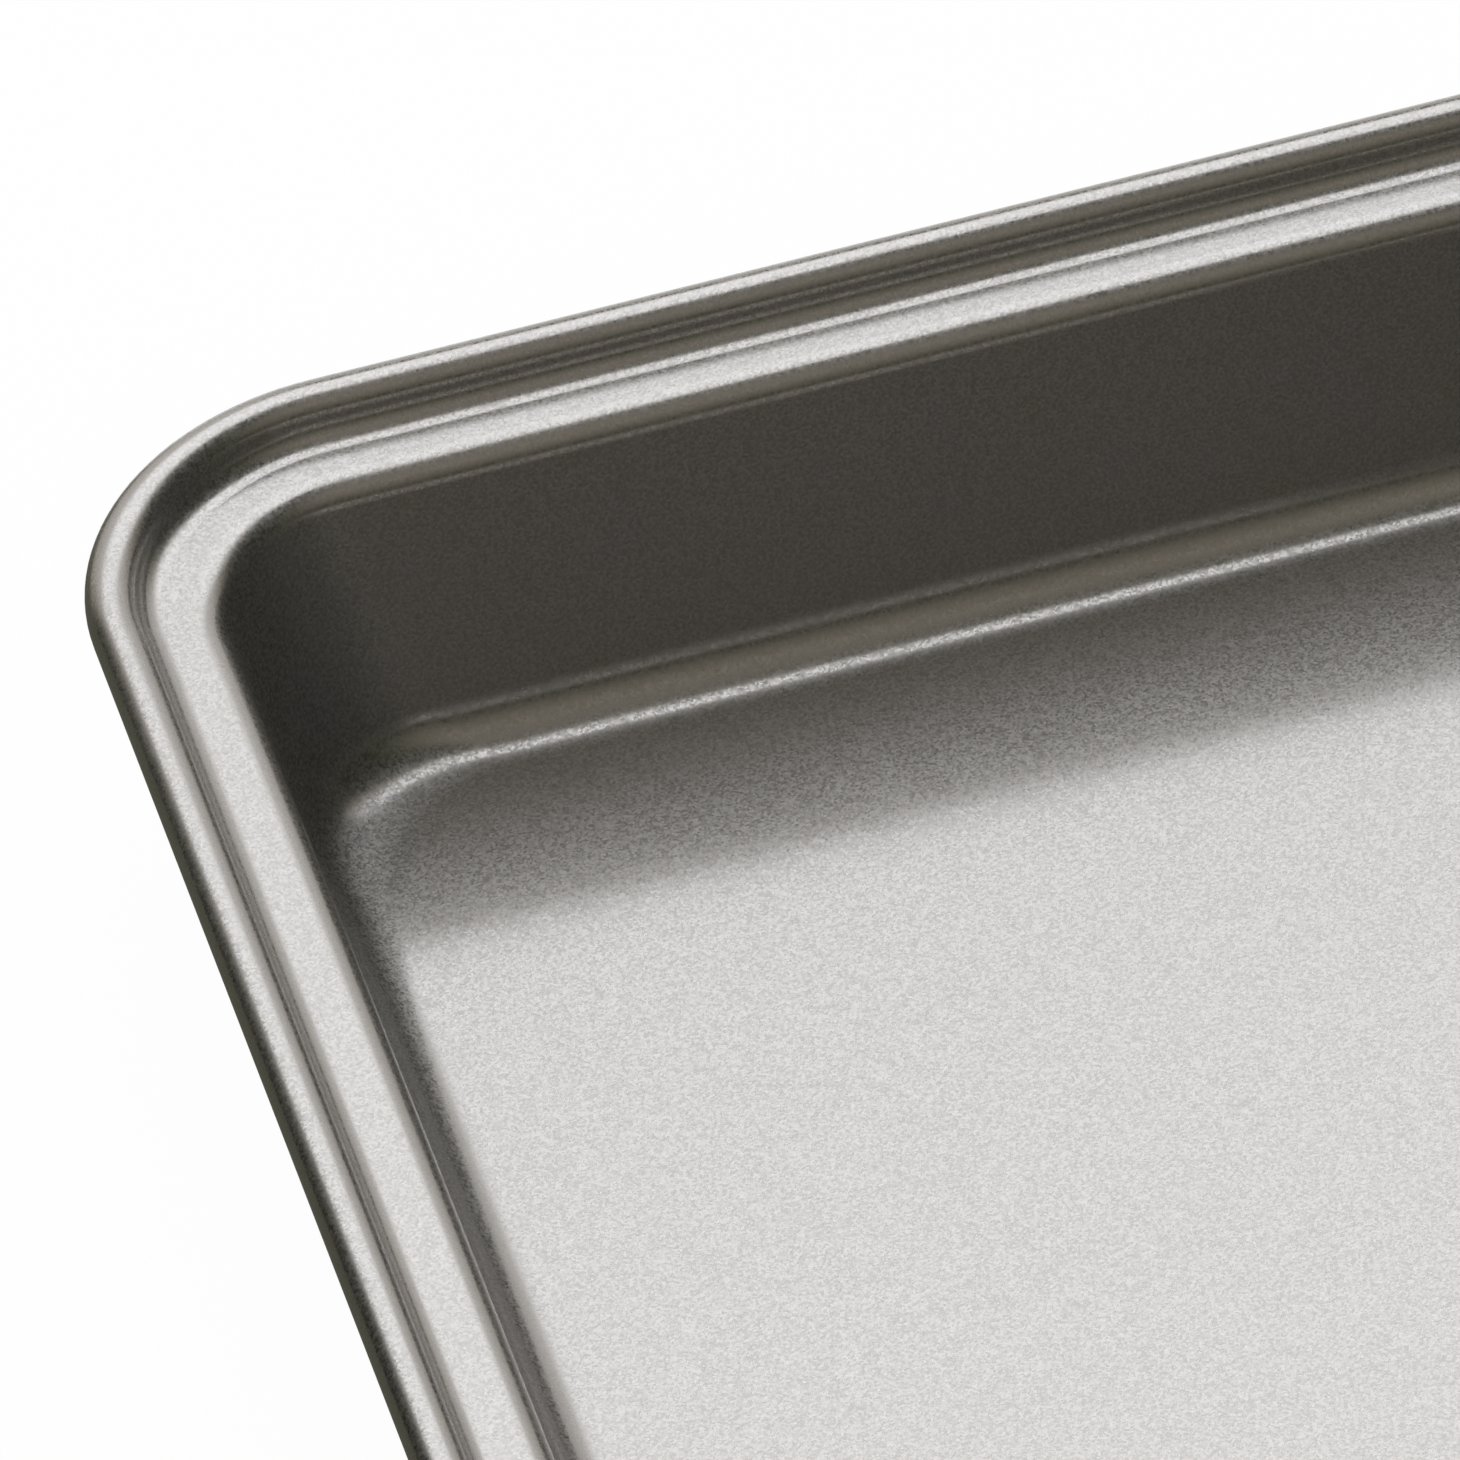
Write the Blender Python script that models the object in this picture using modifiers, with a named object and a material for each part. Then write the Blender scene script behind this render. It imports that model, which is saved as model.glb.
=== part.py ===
"""Brownie pan: one pressed steel sheet with a rolled rim, and the wire ring inside the roll.

Metres, +Z up. The origin is under the middle of the floor, the long side lies along X.
"""

from math import atan2, cos, pi, radians, sin, sqrt, tan

import bmesh
import bpy

# Driving sizes of the pressed sheet
inside_length = 0.2794  # between the walls where they leave the lip, along X
inside_width = 0.1778  # the same, along Y
depth = 0.0381  # from the floor up to the crown of the bead
sheet = 0.0008
wall_draft = radians(10.0)  # how far the walls lean outward from upright
foot_radius = 0.0064  # hollow round between wall and floor

# Driving sizes of the rim, from the lip outward
lip_radius = 0.0033
ledge_width = 0.0030  # the flat of the ledge
ledge_drop = 0.00215  # from the middle of the bead down to the ledge
gutter_radius = 0.0027  # hollow round between ledge and bead
bead_radius = 0.0027  # outside of the rolled bead
curl_end = radians(-205.0)  # where the roll stops, 0 at its crown and negative outward

# Corners seen from above
rim_corner_radius = 0.0283  # at the middle of the bead
floor_corner_radius = 0.0200  # where the foot meets the flat floor

wire_clearance = 0.0003  # between the wire and the sheet rolled round it

# How finely the round stretches are cut
corner_steps = 12
bead_steps = 18
gutter_steps = 4
lip_steps = 5
foot_steps = 6
wire_steps = 2  # bevel resolution of the wire's round

# Places along the section that follow from the sizes above. An inset is measured
# inward from the middle of the bead, and a drop is measured down from it.
gutter_inset = sqrt((bead_radius + gutter_radius) ** 2 - (ledge_drop - gutter_radius) ** 2)
bead_end = atan2(gutter_inset, gutter_radius - ledge_drop)
lip_inset = gutter_inset + ledge_width
wall_tilt = pi / 2 - wall_draft
wall_top_inset = lip_inset + lip_radius * sin(wall_tilt)
wall_top_drop = ledge_drop + lip_radius * (1 - cos(wall_tilt))
floor_drop = depth - bead_radius
foot_top_drop = floor_drop - foot_radius * (1 - cos(wall_tilt))
foot_top_inset = wall_top_inset + (foot_top_drop - wall_top_drop) * tan(wall_draft)
floor_inset = foot_top_inset + foot_radius * sin(wall_tilt)

bead_height = sheet + depth - bead_radius
bead_half_length = inside_length / 2 + wall_top_inset
bead_half_width = inside_width / 2 + wall_top_inset


def clear_scene():
    for obj in list(bpy.data.objects):
        bpy.data.objects.remove(obj)


def new_collection(name):
    collection = bpy.data.collections.new(name)
    bpy.context.scene.collection.children.link(collection)
    return collection


def coated_steel():
    """Steel with a grey non-stick coating that holds fine metallic flake."""
    material = bpy.data.materials.new("non_stick_coated_steel")
    material.use_nodes = True
    shader = material.node_tree.nodes["Principled BSDF"]
    shader.inputs["Base Color"].default_value = (0.50, 0.49, 0.48, 1.0)
    shader.inputs["Metallic"].default_value = 1.0
    shader.inputs["Roughness"].default_value = 0.25
    return material


def drawn_wire_steel():
    material = bpy.data.materials.new("drawn_steel_wire")
    material.use_nodes = True
    shader = material.node_tree.nodes["Principled BSDF"]
    shader.inputs["Base Color"].default_value = (0.5, 0.49, 0.47, 1.0)
    shader.inputs["Metallic"].default_value = 1.0
    shader.inputs["Roughness"].default_value = 0.4
    return material


def arc(steps, start, end, inset, drop, radius):
    """Points along a round of the section. The angle is the lean of the line from
    its centre to the point, 0 straight up and positive inward."""
    points = []
    for i in range(steps + 1):
        lean = start + (end - start) * i / steps
        points.append((inset + radius * sin(lean), drop - radius * cos(lean)))
    return points


def section():
    """The side of the sheet that holds the batter, as (inset, drop) from the middle
    of the bead: round the bead, through the gutter, over the lip and down to the floor."""
    points = arc(bead_steps, curl_end, bead_end, 0.0, 0.0, bead_radius)
    gutter_centre_drop = ledge_drop - gutter_radius
    points += arc(gutter_steps, bead_end - pi, -pi, gutter_inset, gutter_centre_drop, gutter_radius)[1:]
    points += arc(lip_steps, 0.0, wall_tilt, lip_inset, ledge_drop + lip_radius, lip_radius)
    points += arc(foot_steps, wall_tilt - pi, -pi, floor_inset, floor_drop - foot_radius, foot_radius)
    return points


def corner_radius(inset):
    """Bead, gutter and lip turn each corner about one centre. From the top of the
    wall down, the radius changes evenly to that of the floor."""
    if inset <= wall_top_inset:
        return rim_corner_radius - inset
    top_radius = rim_corner_radius - wall_top_inset
    share = (inset - wall_top_inset) / (floor_inset - wall_top_inset)
    return top_radius + (floor_corner_radius - top_radius) * share


def ring(inset, radius):
    """A rectangle with round corners, as (x, y) points in order round the pan."""
    x_middle = bead_half_length - inset - radius
    y_middle = bead_half_width - inset - radius
    points = []
    for corner, (x_sign, y_sign) in enumerate(((1, 1), (-1, 1), (-1, -1), (1, -1))):
        for i in range(corner_steps + 1):
            turn = (corner + i / corner_steps) * pi / 2
            points.append((x_sign * x_middle + radius * cos(turn), y_sign * y_middle + radius * sin(turn)))
    return points


def add_loop(mesh, points, height):
    """The vertices of a closed loop at one height."""
    return [mesh.verts.new((x, y, height)) for x, y in points]


def add_band(mesh, outer, inner):
    """Quads between two loops with equally many vertices."""
    for i in range(len(outer)):
        mesh.faces.new((outer[i - 1], outer[i], inner[i], inner[i - 1]))


def make_pan_shell(collection, material):
    """A surface lofted from one loop for each point of the section, closed by the
    floor and given the sheet's thickness on its underside."""
    shape = bmesh.new()
    previous = None
    for inset, drop in section():
        loop = add_loop(shape, ring(inset, corner_radius(inset)), bead_height - drop)
        if previous:
            add_band(shape, previous, loop)
        previous = loop
    shape.faces.new(previous)
    mesh = bpy.data.meshes.new("pan_shell")
    shape.to_mesh(mesh)
    shape.free()
    mesh.shade_smooth()
    mesh.materials.append(material)
    pan = bpy.data.objects.new("pan_shell", mesh)
    collection.objects.link(pan)
    wall = pan.modifiers.new("sheet", "SOLIDIFY")
    wall.thickness = sheet
    wall.offset = -1.0
    wall.use_even_offset = True
    return pan


def make_rim_wire(collection, material):
    """One closed round wire along the middle of the bead."""
    curve = bpy.data.curves.new("rim_wire", "CURVE")
    curve.dimensions = "3D"
    curve.bevel_depth = bead_radius - sheet - wire_clearance
    curve.bevel_resolution = wire_steps
    points = ring(0.0, rim_corner_radius)
    path = curve.splines.new("POLY")
    path.points.add(len(points) - 1)
    for point, (x, y) in zip(path.points, points):
        point.co = (x, y, bead_height, 1.0)
    path.use_cyclic_u = True
    curve.materials.append(material)
    wire = bpy.data.objects.new("rim_wire", curve)
    collection.objects.link(wire)
    return wire


def main():
    clear_scene()
    parts = new_collection("brownie_pan")
    make_pan_shell(parts, coated_steel())
    make_rim_wire(parts, drawn_wire_steel())


main()
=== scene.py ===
from math import atan2, cos, pi, radians, sin, sqrt, tan

import bmesh
import bpy
from mathutils import Matrix, Vector


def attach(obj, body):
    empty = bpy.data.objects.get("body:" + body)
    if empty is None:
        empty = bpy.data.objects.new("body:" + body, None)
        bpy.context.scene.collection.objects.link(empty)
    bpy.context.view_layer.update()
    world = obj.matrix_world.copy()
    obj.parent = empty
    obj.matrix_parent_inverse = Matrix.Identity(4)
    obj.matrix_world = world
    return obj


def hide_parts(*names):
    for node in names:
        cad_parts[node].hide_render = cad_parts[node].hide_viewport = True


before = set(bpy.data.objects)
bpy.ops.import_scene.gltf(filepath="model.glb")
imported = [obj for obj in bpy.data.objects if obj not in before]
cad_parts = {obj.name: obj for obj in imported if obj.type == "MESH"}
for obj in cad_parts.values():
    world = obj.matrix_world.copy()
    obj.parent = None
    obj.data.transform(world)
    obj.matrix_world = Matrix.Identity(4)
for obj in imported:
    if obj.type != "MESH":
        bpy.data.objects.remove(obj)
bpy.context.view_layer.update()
mm = 0.001


# small helpers

def srgb(code):
    # "d4d2d0" is the colour as it is seen, and the shader works in linear values
    parts = [int(code[i:i + 2], 16) / 255 for i in (0, 2, 4)]
    return [p / 12.92 if p <= 0.04045 else ((p + 0.055) / 1.055) ** 2.4 for p in parts] + [1.0]


def addNode(tree, kind, settings=None, links=None):
    # settings are a node's properties or its sockets' values, by name or by number. links feed its sockets with
    # another node's output, with another node itself for its first output, or with a plain value.
    node = tree.nodes.new(kind)
    for name, value in (settings or {}).items():
        if isinstance(name, str) and hasattr(node, name):
            setattr(node, name, value)
        else:
            node.inputs[name].default_value = value
    for name, source in (links or {}).items():
        if isinstance(source, bpy.types.Node):
            source = source.outputs[0]
        if isinstance(source, bpy.types.NodeSocket):
            tree.links.new(source, node.inputs[name])
        else:
            node.inputs[name].default_value = source
    return node


def setStops(ramp, stops):
    # a new ramp has two stops
    for i, (at, colour) in enumerate(stops):
        stop = ramp.elements[i] if i < 2 else ramp.elements.new(at)
        stop.position = at
        stop.color = colour


def newMaterial(name):
    material = bpy.data.materials.new(name)
    material.use_nodes = True
    material.node_tree.nodes.clear()
    return material, material.node_tree


def newPiece(name, shape, material):
    mesh = bpy.data.meshes.new(name)
    shape.to_mesh(mesh)
    shape.free()
    mesh.materials.append(material)
    piece = bpy.data.objects.new(name, mesh)
    bpy.context.scene.collection.objects.link(piece)
    return piece


# materials

coat = {
    "paleFlake": "c2c0bf",
    "darkFlake": "bbb9b8",
    "clear": 0.14,  # roughness of the gloss from the flakes near the surface
    "deep": 0.44,  # and of that from the flakes deep in the resin
    "deepShare": (0.25, 0.95),  # least and most from one speck to the next
    "flake": 0.26,  # mm across one flake, coarser than the real ones, to show
    "flakeTilt": 0.025,
    "ripple": 1.6,  # mm between the soft swells of the sprayed coat
    "rippleDetail": 2.0,
    "rippleHeight": 0.0006,  # mm
}


def makeCoat():
    # A silicone non-stick coat with aluminium flake, sprayed on and baked: the flakes lie nearly flat, each a
    # little tilted, so it has a satin metal sheen with a fine sparkle.
    material, tree = newMaterial("flake_non_stick_coat")
    place = addNode(tree, "ShaderNodeTexCoord").outputs["Object"]
    flakes = addNode(tree, "ShaderNodeTexVoronoi", {"Scale": 1 / (coat["flake"] * mm)}, {"Vector": place})
    draw = addNode(tree, "ShaderNodeSeparateColor", None, {"Color": flakes.outputs["Color"]})
    colour = addNode(tree, "ShaderNodeMix", {"data_type": "RGBA", 6: srgb(coat["darkFlake"]),
                                             7: srgb(coat["paleFlake"])}, {0: draw.outputs["Red"]})
    centred = addNode(tree, "ShaderNodeVectorMath", {"operation": "SUBTRACT", 1: (0.5, 0.5, 0.5)},
                      {0: flakes.outputs["Color"]})
    tilt = addNode(tree, "ShaderNodeVectorMath", {"operation": "SCALE", "Scale": coat["flakeTilt"]},
                   {0: centred})
    swell = addNode(tree, "ShaderNodeTexNoise", {"Scale": 1 / (coat["ripple"] * mm),
                                                 "Detail": coat["rippleDetail"]}, {"Vector": place})
    ripple = addNode(tree, "ShaderNodeBump", {"Strength": 1.0, "Distance": coat["rippleHeight"] * mm},
                     {"Height": swell.outputs["Fac"]})
    leaning = addNode(tree, "ShaderNodeVectorMath", {"operation": "ADD"}, {0: ripple, 1: tilt})
    normal = addNode(tree, "ShaderNodeVectorMath", {"operation": "NORMALIZE"}, {0: leaning})
    clear, deep = [addNode(tree, "ShaderNodeBsdfPrincipled", {"Metallic": 1.0, "Roughness": roughness},
                           {"Base Color": colour.outputs[2], "Normal": normal})
                   for roughness in (coat["clear"], coat["deep"])]
    least, most = coat["deepShare"]
    share = addNode(tree, "ShaderNodeMapRange", {"To Min": least, "To Max": most},
                    {"Value": draw.outputs["Green"]})
    gloss = addNode(tree, "ShaderNodeMixShader", None, {0: share, 1: clear, 2: deep})
    addNode(tree, "ShaderNodeOutputMaterial", None, {"Surface": gloss})
    return material


wireFinish = {
    "colour": "b4b2ae",
    "roughness": (0.27, 0.47),  # least and most from one speck to the next
    "speck": 0.12,  # mm
    "speckDetail": 3.0,
}


def makeWireSteel():
    # Bright low-carbon steel wire, drawn through a die, which leaves it a fine uneven sheen
    material, tree = newMaterial("drawn_steel_wire")
    place = addNode(tree, "ShaderNodeTexCoord").outputs["Object"]
    specks = addNode(tree, "ShaderNodeTexNoise", {"Scale": 1 / (wireFinish["speck"] * mm),
                                                  "Detail": wireFinish["speckDetail"]}, {"Vector": place})
    least, most = wireFinish["roughness"]
    rough = addNode(tree, "ShaderNodeMapRange", {"To Min": least, "To Max": most},
                    {"Value": specks.outputs["Fac"]})
    shader = addNode(tree, "ShaderNodeBsdfPrincipled", {"Base Color": srgb(wireFinish["colour"]),
                                                        "Metallic": 1.0}, {"Roughness": rough})
    addNode(tree, "ShaderNodeOutputMaterial", None, {"Surface": shader})
    return material


# the pan

pan = {  # mm and degrees
    "beadHalfLength": 151.322,  # from the middle of the pan to the middle of the bead, along X
    "beadHalfWidth": 100.522,  # the same, along Y
    "beadHeight": 36.196,  # from the ground to the middle of the bead
    "sheet": 0.7995,  # a hair less than the 0.8 of the part, to stay inside its box
    "beadRadius": 2.7,
    "curlEnd": 205.0,  # how far the roll turns outward and under from its crown
    "gutterRadius": 2.7,
    "ledgeDrop": 2.15,  # from the middle of the bead down to the ledge
    "ledgeWidth": 3.0,
    "lipRadius": 3.3,
    "wallDraft": 10.0,  # how far the walls lean outward from upright
    "footRadius": 6.4,
    "depth": 38.096,  # from the floor up to the crown of the bead
    "rimCorner": 28.3,  # radius at the middle of the bead, seen from above
    "floorCorner": 20.0,  # and where the foot meets the floor
    "cornerSteps": 28,
    "beadStep": 7.5,  # degrees of each round between two loops
    "gutterStep": 8.0,
    "lipStep": 6.0,
    "footStep": 5.0,
    "weld": 0.0001,
}


def sectionPoints():
    # The inner side of the sheet, from the free edge of the roll to the floor, drawn as one chain of vertices
    # with x inward and z up from the middle of the bead
    p = pan
    across = Vector((0, 1, 0))
    gutterInset = sqrt((p["beadRadius"] + p["gutterRadius"]) ** 2 - (p["ledgeDrop"] - p["gutterRadius"]) ** 2)
    beadEnd = atan2(gutterInset, p["gutterRadius"] - p["ledgeDrop"])
    draft = radians(p["wallDraft"])
    wallTilt = pi / 2 - draft
    lipInset = gutterInset + p["ledgeWidth"]
    topInset = lipInset + p["lipRadius"] * sin(wallTilt)
    topDrop = p["ledgeDrop"] + p["lipRadius"] * (1 - cos(wallTilt))
    floorDrop = p["depth"] - p["beadRadius"]
    footDrop = floorDrop - p["footRadius"] * (1 - cos(wallTilt))
    footInset = topInset + (footDrop - topDrop) * tan(draft)
    floorInset = footInset + p["footRadius"] * sin(wallTilt)

    chain = bmesh.new()
    curl = -radians(p["curlEnd"])
    tip = chain.verts.new((p["beadRadius"] * sin(curl), 0, p["beadRadius"] * cos(curl)))

    def turn(vertex, x, z, angle, step):
        steps = max(1, round(abs(angle) / radians(step)))
        made = bmesh.ops.spin(chain, geom=[vertex], cent=(x, 0, z), axis=across, angle=angle, steps=steps)
        return [v for v in made["geom_last"] if isinstance(v, bmesh.types.BMVert)][0]

    def run(vertex, x, z):
        made = bmesh.ops.extrude_vert_indiv(chain, verts=[vertex])["verts"]
        bmesh.ops.translate(chain, verts=made, vec=(x, 0, z))
        return made[0]

    end = turn(tip, 0, 0, beadEnd - curl, p["beadStep"])
    end = turn(end, gutterInset, p["gutterRadius"] - p["ledgeDrop"], -beadEnd, p["gutterStep"])
    end = run(end, p["ledgeWidth"], 0)
    end = turn(end, lipInset, -p["ledgeDrop"] - p["lipRadius"], wallTilt, p["lipStep"])
    end = run(end, footInset - topInset, topDrop - footDrop)
    turn(end, floorInset, p["footRadius"] - floorDrop, -wallTilt, p["footStep"])
    points = [v.co.copy() for v in chain.verts]
    chain.free()
    return points, topInset, floorInset


def roundRectangle(shape, halfLength, halfWidth, radius, height):
    made = bmesh.ops.create_grid(shape, x_segments=1, y_segments=1, size=1.0)
    corners = made["verts"]
    bmesh.ops.scale(shape, verts=corners, vec=(halfLength, halfWidth, 1))
    bmesh.ops.translate(shape, verts=corners, vec=(0, 0, height))
    rounded = bmesh.ops.bevel(shape, geom=corners, offset=radius, segments=pan["cornerSteps"],
                              affect="VERTICES", profile=0.5, material=-1)
    face = rounded["verts"][0].link_faces[0]
    return face, list(face.edges)


def makePan():
    p = pan
    points, topInset, floorInset = sectionPoints()
    shape = bmesh.new()
    previous = None
    for i, point in enumerate(points):
        inset, height = point.x, p["beadHeight"] + point.z
        radius = p["rimCorner"] - inset
        if inset > topInset:  # down the wall the radius changes evenly to that of the floor
            share = (inset - topInset) / (floorInset - topInset)
            radius = p["rimCorner"] - topInset + (p["floorCorner"] - p["rimCorner"] + topInset) * share
        face, edges = roundRectangle(shape, p["beadHalfLength"] - inset, p["beadHalfWidth"] - inset,
                                     radius, height)
        if i < len(points) - 1:  # the last face stays as the floor
            bmesh.ops.delete(shape, geom=[face], context="FACES_ONLY")
        if previous:
            bmesh.ops.bridge_loops(shape, edges=previous + edges)
        previous = edges
    bmesh.ops.remove_doubles(shape, verts=shape.verts, dist=p["weld"])
    bmesh.ops.recalc_face_normals(shape, faces=shape.faces)
    floor = max(shape.faces, key=lambda f: f.calc_area())
    if floor.normal.z < 0:
        bmesh.ops.reverse_faces(shape, faces=shape.faces)
    bmesh.ops.scale(shape, verts=shape.verts, vec=(mm, mm, mm))
    piece = newPiece("pan", shape, makeCoat())
    piece.data.shade_smooth()
    wall = piece.modifiers.new("sheet", "SOLIDIFY")
    wall.thickness = p["sheet"] * mm
    wall.offset = -1.0
    wall.use_even_offset = True
    even = piece.modifiers.new("even shading", "WEIGHTED_NORMAL")
    even.mode = "FACE_AREA"
    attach(piece, "root")
    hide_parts("pan_shell")
    return piece


panPiece = makePan()
print("pan made:", len(panPiece.data.polygons), "faces before the sheet's thickness")

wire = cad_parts["rim_wire"]
wire.data.materials.clear()
wire.data.materials.append(makeWireSteel())
print("wire finished")


# the studio

studio = {
    "ambient": 0.75,  # the world's light on the pan and the floor
    "card": "f6f6f6",
    "cardHalf": 15.0,  # metres
    "cardDrop": 0.02,  # mm below the pan
    "eyeShadow": 0.03,  # share of the floor's own shading in what the camera sees
    "glossShadow": 0.50,  # the same in what the pan's gloss sees
}


def anyRay(tree, *kinds):
    # 1 for the rays of any of these kinds, 0 for the rest
    path = addNode(tree, "ShaderNodeLightPath")
    found = path.outputs[kinds[0]]
    for kind in kinds[1:]:
        found = addNode(tree, "ShaderNodeMath", {"operation": "MAXIMUM"}, {0: found, 1: path.outputs[kind]})
    return found


def makeWorld():
    world = bpy.data.worlds.new("pale_studio")
    bpy.context.scene.world = world
    world.use_nodes = True
    tree = world.node_tree
    tree.nodes.clear()
    strength = addNode(tree, "ShaderNodeMapRange", {"To Min": studio["ambient"], "To Max": 1.0},
                       {"Value": anyRay(tree, "Is Camera Ray", "Is Glossy Ray", "Is Transmission Ray")})
    light = addNode(tree, "ShaderNodeBackground", {"Color": srgb("ffffff")}, {"Strength": strength})
    addNode(tree, "ShaderNodeOutputWorld", None, {"Surface": light})


def makeFloor():
    # matt white card under the pan, which keeps its soft shadow
    material, tree = newMaterial("white_card")
    matt = addNode(tree, "ShaderNodeBsdfDiffuse", {"Color": srgb(studio["card"])})
    white = addNode(tree, "ShaderNodeEmission", {"Color": srgb("ffffff"), "Strength": 1.0})
    eye = addNode(tree, "ShaderNodeMath", {"operation": "MULTIPLY", 1: 1 - studio["eyeShadow"]},
                  {0: anyRay(tree, "Is Camera Ray")})
    gloss = addNode(tree, "ShaderNodeMath", {"operation": "MULTIPLY", 1: 1 - studio["glossShadow"]},
                    {0: anyRay(tree, "Is Glossy Ray", "Is Transmission Ray")})
    share = addNode(tree, "ShaderNodeMath", {"operation": "MAXIMUM"}, {0: eye, 1: gloss})
    both = addNode(tree, "ShaderNodeMixShader", None, {0: share, 1: matt, 2: white})
    addNode(tree, "ShaderNodeOutputMaterial", None, {"Surface": both})
    shape = bmesh.new()
    bmesh.ops.create_grid(shape, x_segments=1, y_segments=1, size=studio["cardHalf"])
    bmesh.ops.translate(shape, verts=shape.verts, vec=(0, 0, -studio["cardDrop"] * mm))
    newPiece("floor", shape, material)


tent = {  # azimuth in degrees from the rear, +X, positive to the left, and degrees up from the horizon. Each
    # pair says where a part of the cloth begins to show and where it shows in full.
    "radius": 1.2,  # metres
    "segments": 96,
    "windowMiddle": -10.0,
    "windowLeft": (54.0, 33.0),  # from its middle
    "windowRight": (66.0, 33.0),
    "window": 1.68,
    "sill": (28.0, 38.0),
    "belowSill": 0.40,  # share of the window's light on the cloth under the sill
    "slotHalf": (8.5, 7.3),  # the dark gap in that cloth
    "slotBottom": (14.0, 22.0),
    "hemTop": (15.0, 9.0),
    "hem": 0.36,  # the pale hem along the ground, a share too
    "leftWall": 0.01,
    "rightWall": 0.03,
    "frontSides": (95.0, 150.0),  # from the window's middle, where the side walls pass into the front
    "front": ((0, 0.48), (16, 0.02), (34, 0.21), (55, 0.33), (72, 0.27)),  # tones by height, past the camera
    "ceilingEdge": (72.0, 90.0),
    "ceiling": 0.21,
    "ground": 0.13,
    "groundDrop": 0.01,  # mm below the pan
    "behind": 1.0,  # the bare white floor behind the pan
    "behindFrom": (0.155, 0.175),  # metres along X
    "behindTo": (0.11, 0.09),  # metres along Y
    "cloth": ((0.08, "f9ffdb"), (0.2, "fff3dc"), (1.0, "ffffff")),  # tint by tone: olive, warm grey, white
}


def onlyInGloss(piece):
    piece.visible_camera = False
    piece.visible_diffuse = False
    piece.visible_transmission = False
    piece.visible_shadow = False


def clothLight(tree, tone):
    # light of this tone, tinted where it is low and white where it is high
    tint = addNode(tree, "ShaderNodeValToRGB", None, {"Fac": tone})
    setStops(tint.color_ramp, [(at, srgb(code)) for at, code in tent["cloth"]])
    light = addNode(tree, "ShaderNodeEmission", None, {"Color": tint.outputs["Color"], "Strength": tone})
    addNode(tree, "ShaderNodeOutputMaterial", None, {"Surface": light})


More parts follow.
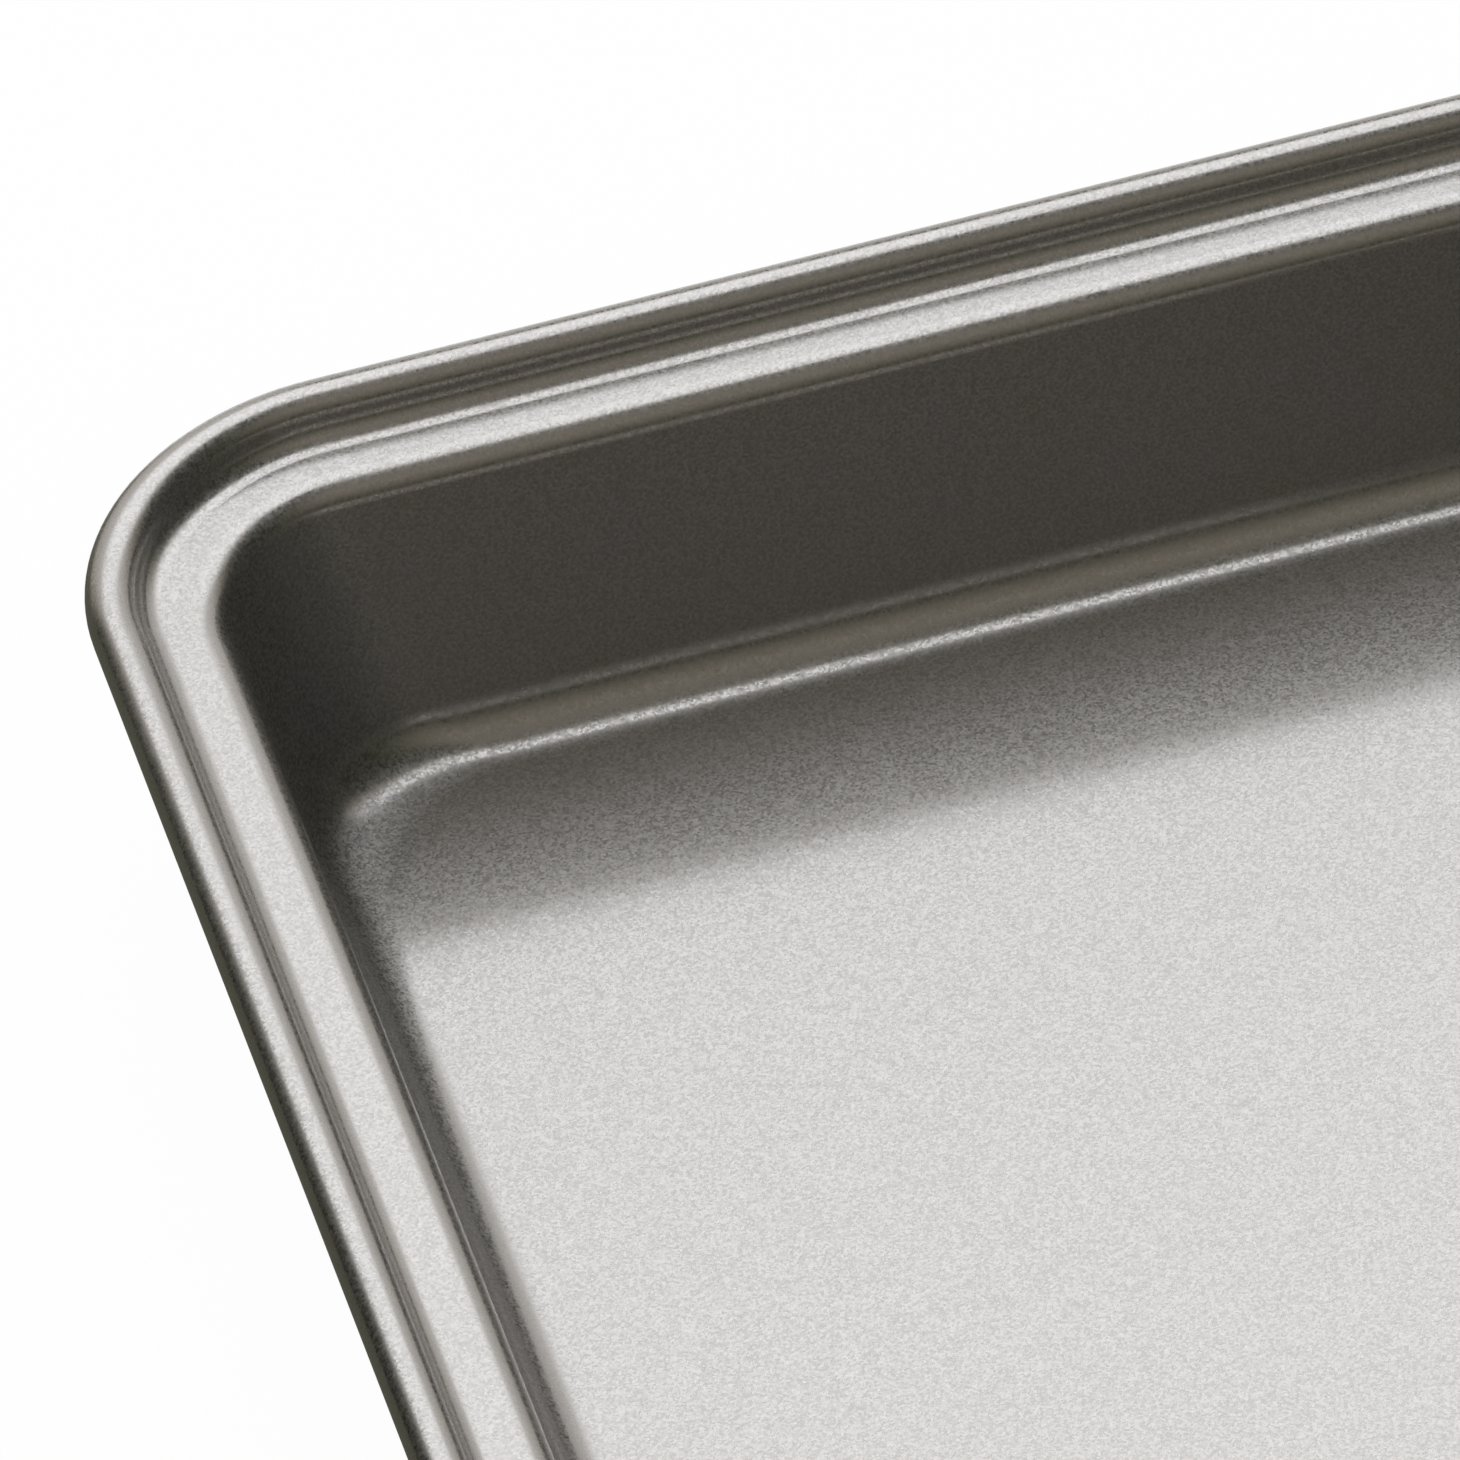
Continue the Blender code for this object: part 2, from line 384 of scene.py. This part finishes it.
def makeTent():
    # A dark tent round the pan with one wide window of soft light behind it. Only the pan's gloss sees it.
    t = tent
    material, tree = newMaterial("tent_cloth")
    place = addNode(tree, "ShaderNodeTexCoord").outputs["Object"]
    part = addNode(tree, "ShaderNodeSeparateXYZ", None, {"Vector": place}).outputs

    # where a point of the cloth lies: its height, its turn from the window's middle, and how far off that is
    around = addNode(tree, "ShaderNodeMath", {"operation": "ARCTAN2"}, {0: part["Y"], 1: part["X"]})
    azimuth = addNode(tree, "ShaderNodeMath", {"operation": "DEGREES"}, {0: around})
    sine = addNode(tree, "ShaderNodeMath", {"operation": "DIVIDE"}, {0: part["Z"], 1: t["radius"]})
    rise = addNode(tree, "ShaderNodeMath", {"operation": "ARCSINE"}, {0: sine})
    height = addNode(tree, "ShaderNodeMath", {"operation": "DEGREES"}, {0: rise})
    past = addNode(tree, "ShaderNodeMath", {"operation": "SUBTRACT"}, {0: azimuth, 1: t["windowMiddle"]})
    turned = addNode(tree, "ShaderNodeMath", {"operation": "WRAP"}, {0: past, 1: 180, 2: -180})
    off = addNode(tree, "ShaderNodeMath", {"operation": "ABSOLUTE"}, {0: turned})

    edges = {"windowLeft": off, "windowRight": off, "sill": height, "slotHalf": off, "slotBottom": height,
             "hemTop": height, "frontSides": off, "ceilingEdge": height}
    shown = {}
    for edge, way in edges.items():
        begin, full = t[edge]
        shown[edge] = addNode(tree, "ShaderNodeMapRange", {"interpolation_type": "SMOOTHSTEP"},
                              {"Value": way, "From Min": begin, "From Max": full})

    # the rear: cloth with a dark gap and a pale hem, and the window above the sill
    inSlot = addNode(tree, "ShaderNodeMath", {"operation": "MULTIPLY"},
                     {0: shown["slotHalf"], 1: shown["slotBottom"]})
    low = addNode(tree, "ShaderNodeMix", {"data_type": "FLOAT"}, {0: inSlot, 2: t["belowSill"], 3: 0.0})
    low = addNode(tree, "ShaderNodeMix", {"data_type": "FLOAT"}, {0: shown["hemTop"], 2: low, 3: t["hem"]})
    rear = addNode(tree, "ShaderNodeMix", {"data_type": "FLOAT"}, {0: shown["sill"], 2: low, 3: 1.0})
    rear = addNode(tree, "ShaderNodeMath", {"operation": "MULTIPLY"}, {0: rear, 1: t["window"]})

    # the side walls, which pass into the front
    share = addNode(tree, "ShaderNodeMath", {"operation": "DIVIDE"}, {0: height, 1: 90.0})
    front = addNode(tree, "ShaderNodeValToRGB", None, {"Fac": share})
    setStops(front.color_ramp, [(at / 90, (tone, tone, tone, 1)) for at, tone in t["front"]])
    onLeft = addNode(tree, "ShaderNodeMath", {"operation": "GREATER_THAN"}, {0: azimuth, 1: 0})
    side = addNode(tree, "ShaderNodeMix", {"data_type": "FLOAT"},
                   {0: onLeft, 2: t["rightWall"], 3: t["leftWall"]})
    rest = addNode(tree, "ShaderNodeMix", {"data_type": "FLOAT"}, {0: shown["frontSides"], 2: side, 3: front})

    # both of them, and the ceiling on top
    toLeft = addNode(tree, "ShaderNodeMath", {"operation": "GREATER_THAN"}, {0: turned, 1: 0})
    inWindow = addNode(tree, "ShaderNodeMix", {"data_type": "FLOAT"},
                       {0: toLeft, 2: shown["windowRight"], 3: shown["windowLeft"]})
    tone = addNode(tree, "ShaderNodeMix", {"data_type": "FLOAT"}, {0: inWindow, 2: rest, 3: rear})
    tone = addNode(tree, "ShaderNodeMix", {"data_type": "FLOAT"},
                   {0: shown["ceilingEdge"], 2: tone, 3: t["ceiling"]})
    clothLight(tree, tone.outputs[0])

    shape = bmesh.new()
    bmesh.ops.create_uvsphere(shape, u_segments=t["segments"], v_segments=t["segments"] // 2,
                              radius=t["radius"])
    bmesh.ops.bisect_plane(shape, geom=[*shape.verts, *shape.edges, *shape.faces], plane_co=(0, 0, 0),
                           plane_no=(0, 0, 1), clear_inner=True)
    onlyInGloss(newPiece("tent", shape, material))


def makeGroundCloth():
    # grey cloth on the floor of the tent, and bare white floor behind the pan, also for the gloss alone
    material, tree = newMaterial("ground_cloth")
    place = addNode(tree, "ShaderNodeTexCoord").outputs["Object"]
    part = addNode(tree, "ShaderNodeSeparateXYZ", None, {"Vector": place}).outputs
    shown = {}
    for edge, axis in (("behindFrom", "X"), ("behindTo", "Y")):
        begin, full = tent[edge]
        shown[edge] = addNode(tree, "ShaderNodeMapRange", {"interpolation_type": "SMOOTHSTEP"},
                              {"Value": part[axis], "From Min": begin, "From Max": full})
    behind = addNode(tree, "ShaderNodeMath", {"operation": "MULTIPLY"},
                     {0: shown["behindFrom"], 1: shown["behindTo"]})
    tone = addNode(tree, "ShaderNodeMix", {"data_type": "FLOAT"},
                   {0: behind, 2: tent["ground"], 3: tent["behind"]})
    clothLight(tree, tone.outputs[0])
    shape = bmesh.new()
    bmesh.ops.create_circle(shape, cap_ends=True, segments=tent["segments"], radius=tent["radius"])
    bmesh.ops.translate(shape, verts=shape.verts, vec=(0, 0, -tent["groundDrop"] * mm))
    onlyInGloss(newPiece("ground cloth", shape, material))


softbox = {
    "side": 1.6,  # metres
    "place": (0.6, -0.5, 1.6),
    "radiance": 1.0,
}


def addSoftbox():
    # one large soft box above and a little behind, which gives the floor its soft shadow
    lamp = bpy.data.lights.new("softbox", "AREA")
    lamp.shape = "SQUARE"
    lamp.size = softbox["side"]
    lamp.energy = softbox["radiance"] * pi * softbox["side"] ** 2
    box = bpy.data.objects.new("softbox", lamp)
    box.location = softbox["place"]
    box.rotation_euler = Vector(softbox["place"]).to_track_quat("Z", "Y").to_euler()
    box.visible_camera = False
    box.visible_glossy = False
    bpy.context.scene.collection.objects.link(box)


view = {  # degrees, mm and metres, worked out from the pan's straight lines
    "azimuth": 100.93,
    "elevation": 41.6,
    "roll": 6.84,
    "sensor": 36.0,
    "lens": 452.32,
    "place": (-1.281299, 0.309435, 1.273270),
}


def addCamera():
    data = bpy.data.cameras.new("camera")
    data.sensor_width = view["sensor"]
    data.lens = view["lens"]
    camera = bpy.data.objects.new("camera", data)
    bpy.context.scene.collection.objects.link(camera)
    turn = Matrix.Rotation(-radians(view["azimuth"]), 4, "Z")
    turn = turn @ Matrix.Rotation(radians(90 - view["elevation"]), 4, "X")
    turn = turn @ Matrix.Rotation(-radians(view["roll"]), 4, "Z")
    camera.matrix_world = Matrix.Translation(view["place"]) @ turn
    bpy.context.scene.camera = camera


makeWorld()
makeFloor()
makeTent()
makeGroundCloth()
addSoftbox()
addCamera()
bpy.context.scene.view_settings.view_transform = "Standard"
print("studio made")
